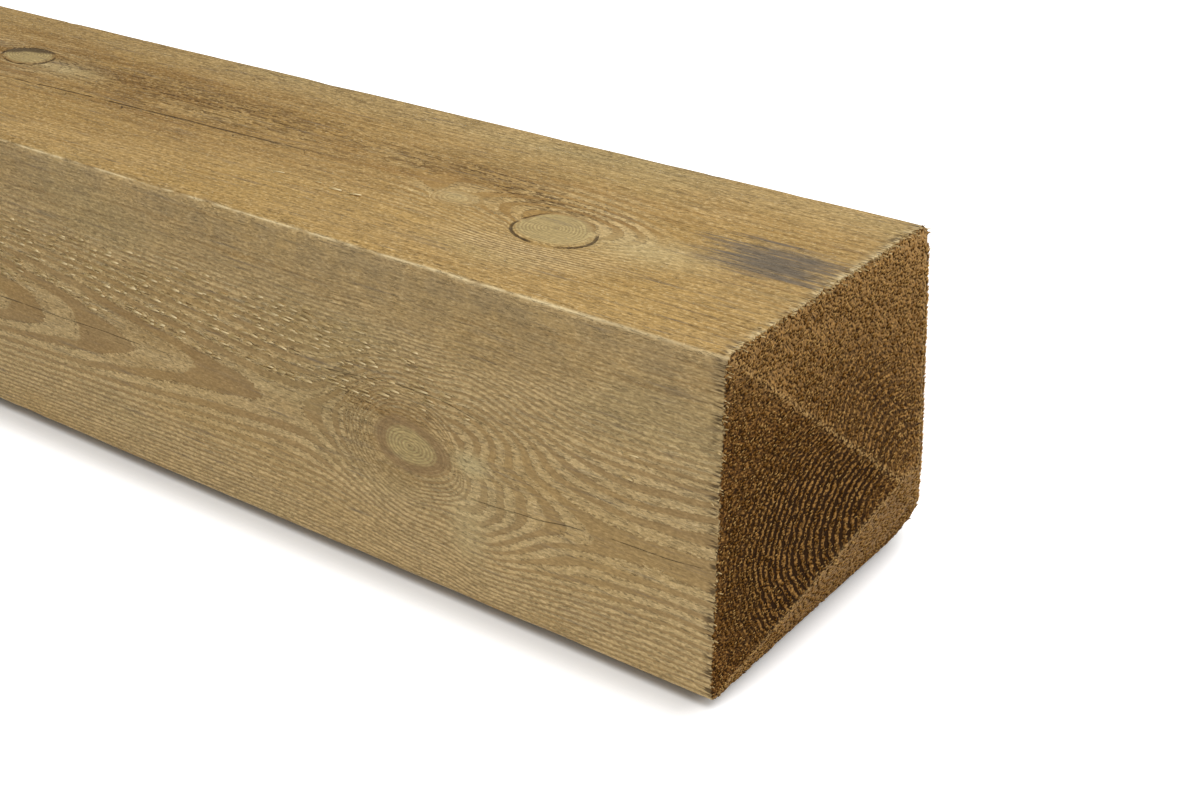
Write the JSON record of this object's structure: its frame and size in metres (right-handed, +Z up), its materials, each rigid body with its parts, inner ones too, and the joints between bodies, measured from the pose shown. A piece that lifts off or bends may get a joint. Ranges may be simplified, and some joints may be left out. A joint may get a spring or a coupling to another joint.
{
  "type": "treated timber beam",
  "caption": "Square rough-sawn beam of preservative-treated softwood, cut square at the foot and weathered to a short hipped ridge at the head, for posts, gates and garden structures.",
  "frame": {"origin": "on the face that the beam lies on, under the middle of its length and width", "axes": "+X along the beam towards the weathered end, +Y towards the far side, +Z up"},
  "size_m": [1.8, 0.15, 0.15],
  "materials": {
    "treated_timber": "rough-sawn softwood, pressure treated to an olive tan, darker and furry on the end grain"
  },
  "bodies": {
    "root": {"beam": "treated_timber"}
  },
  "joints": []
}
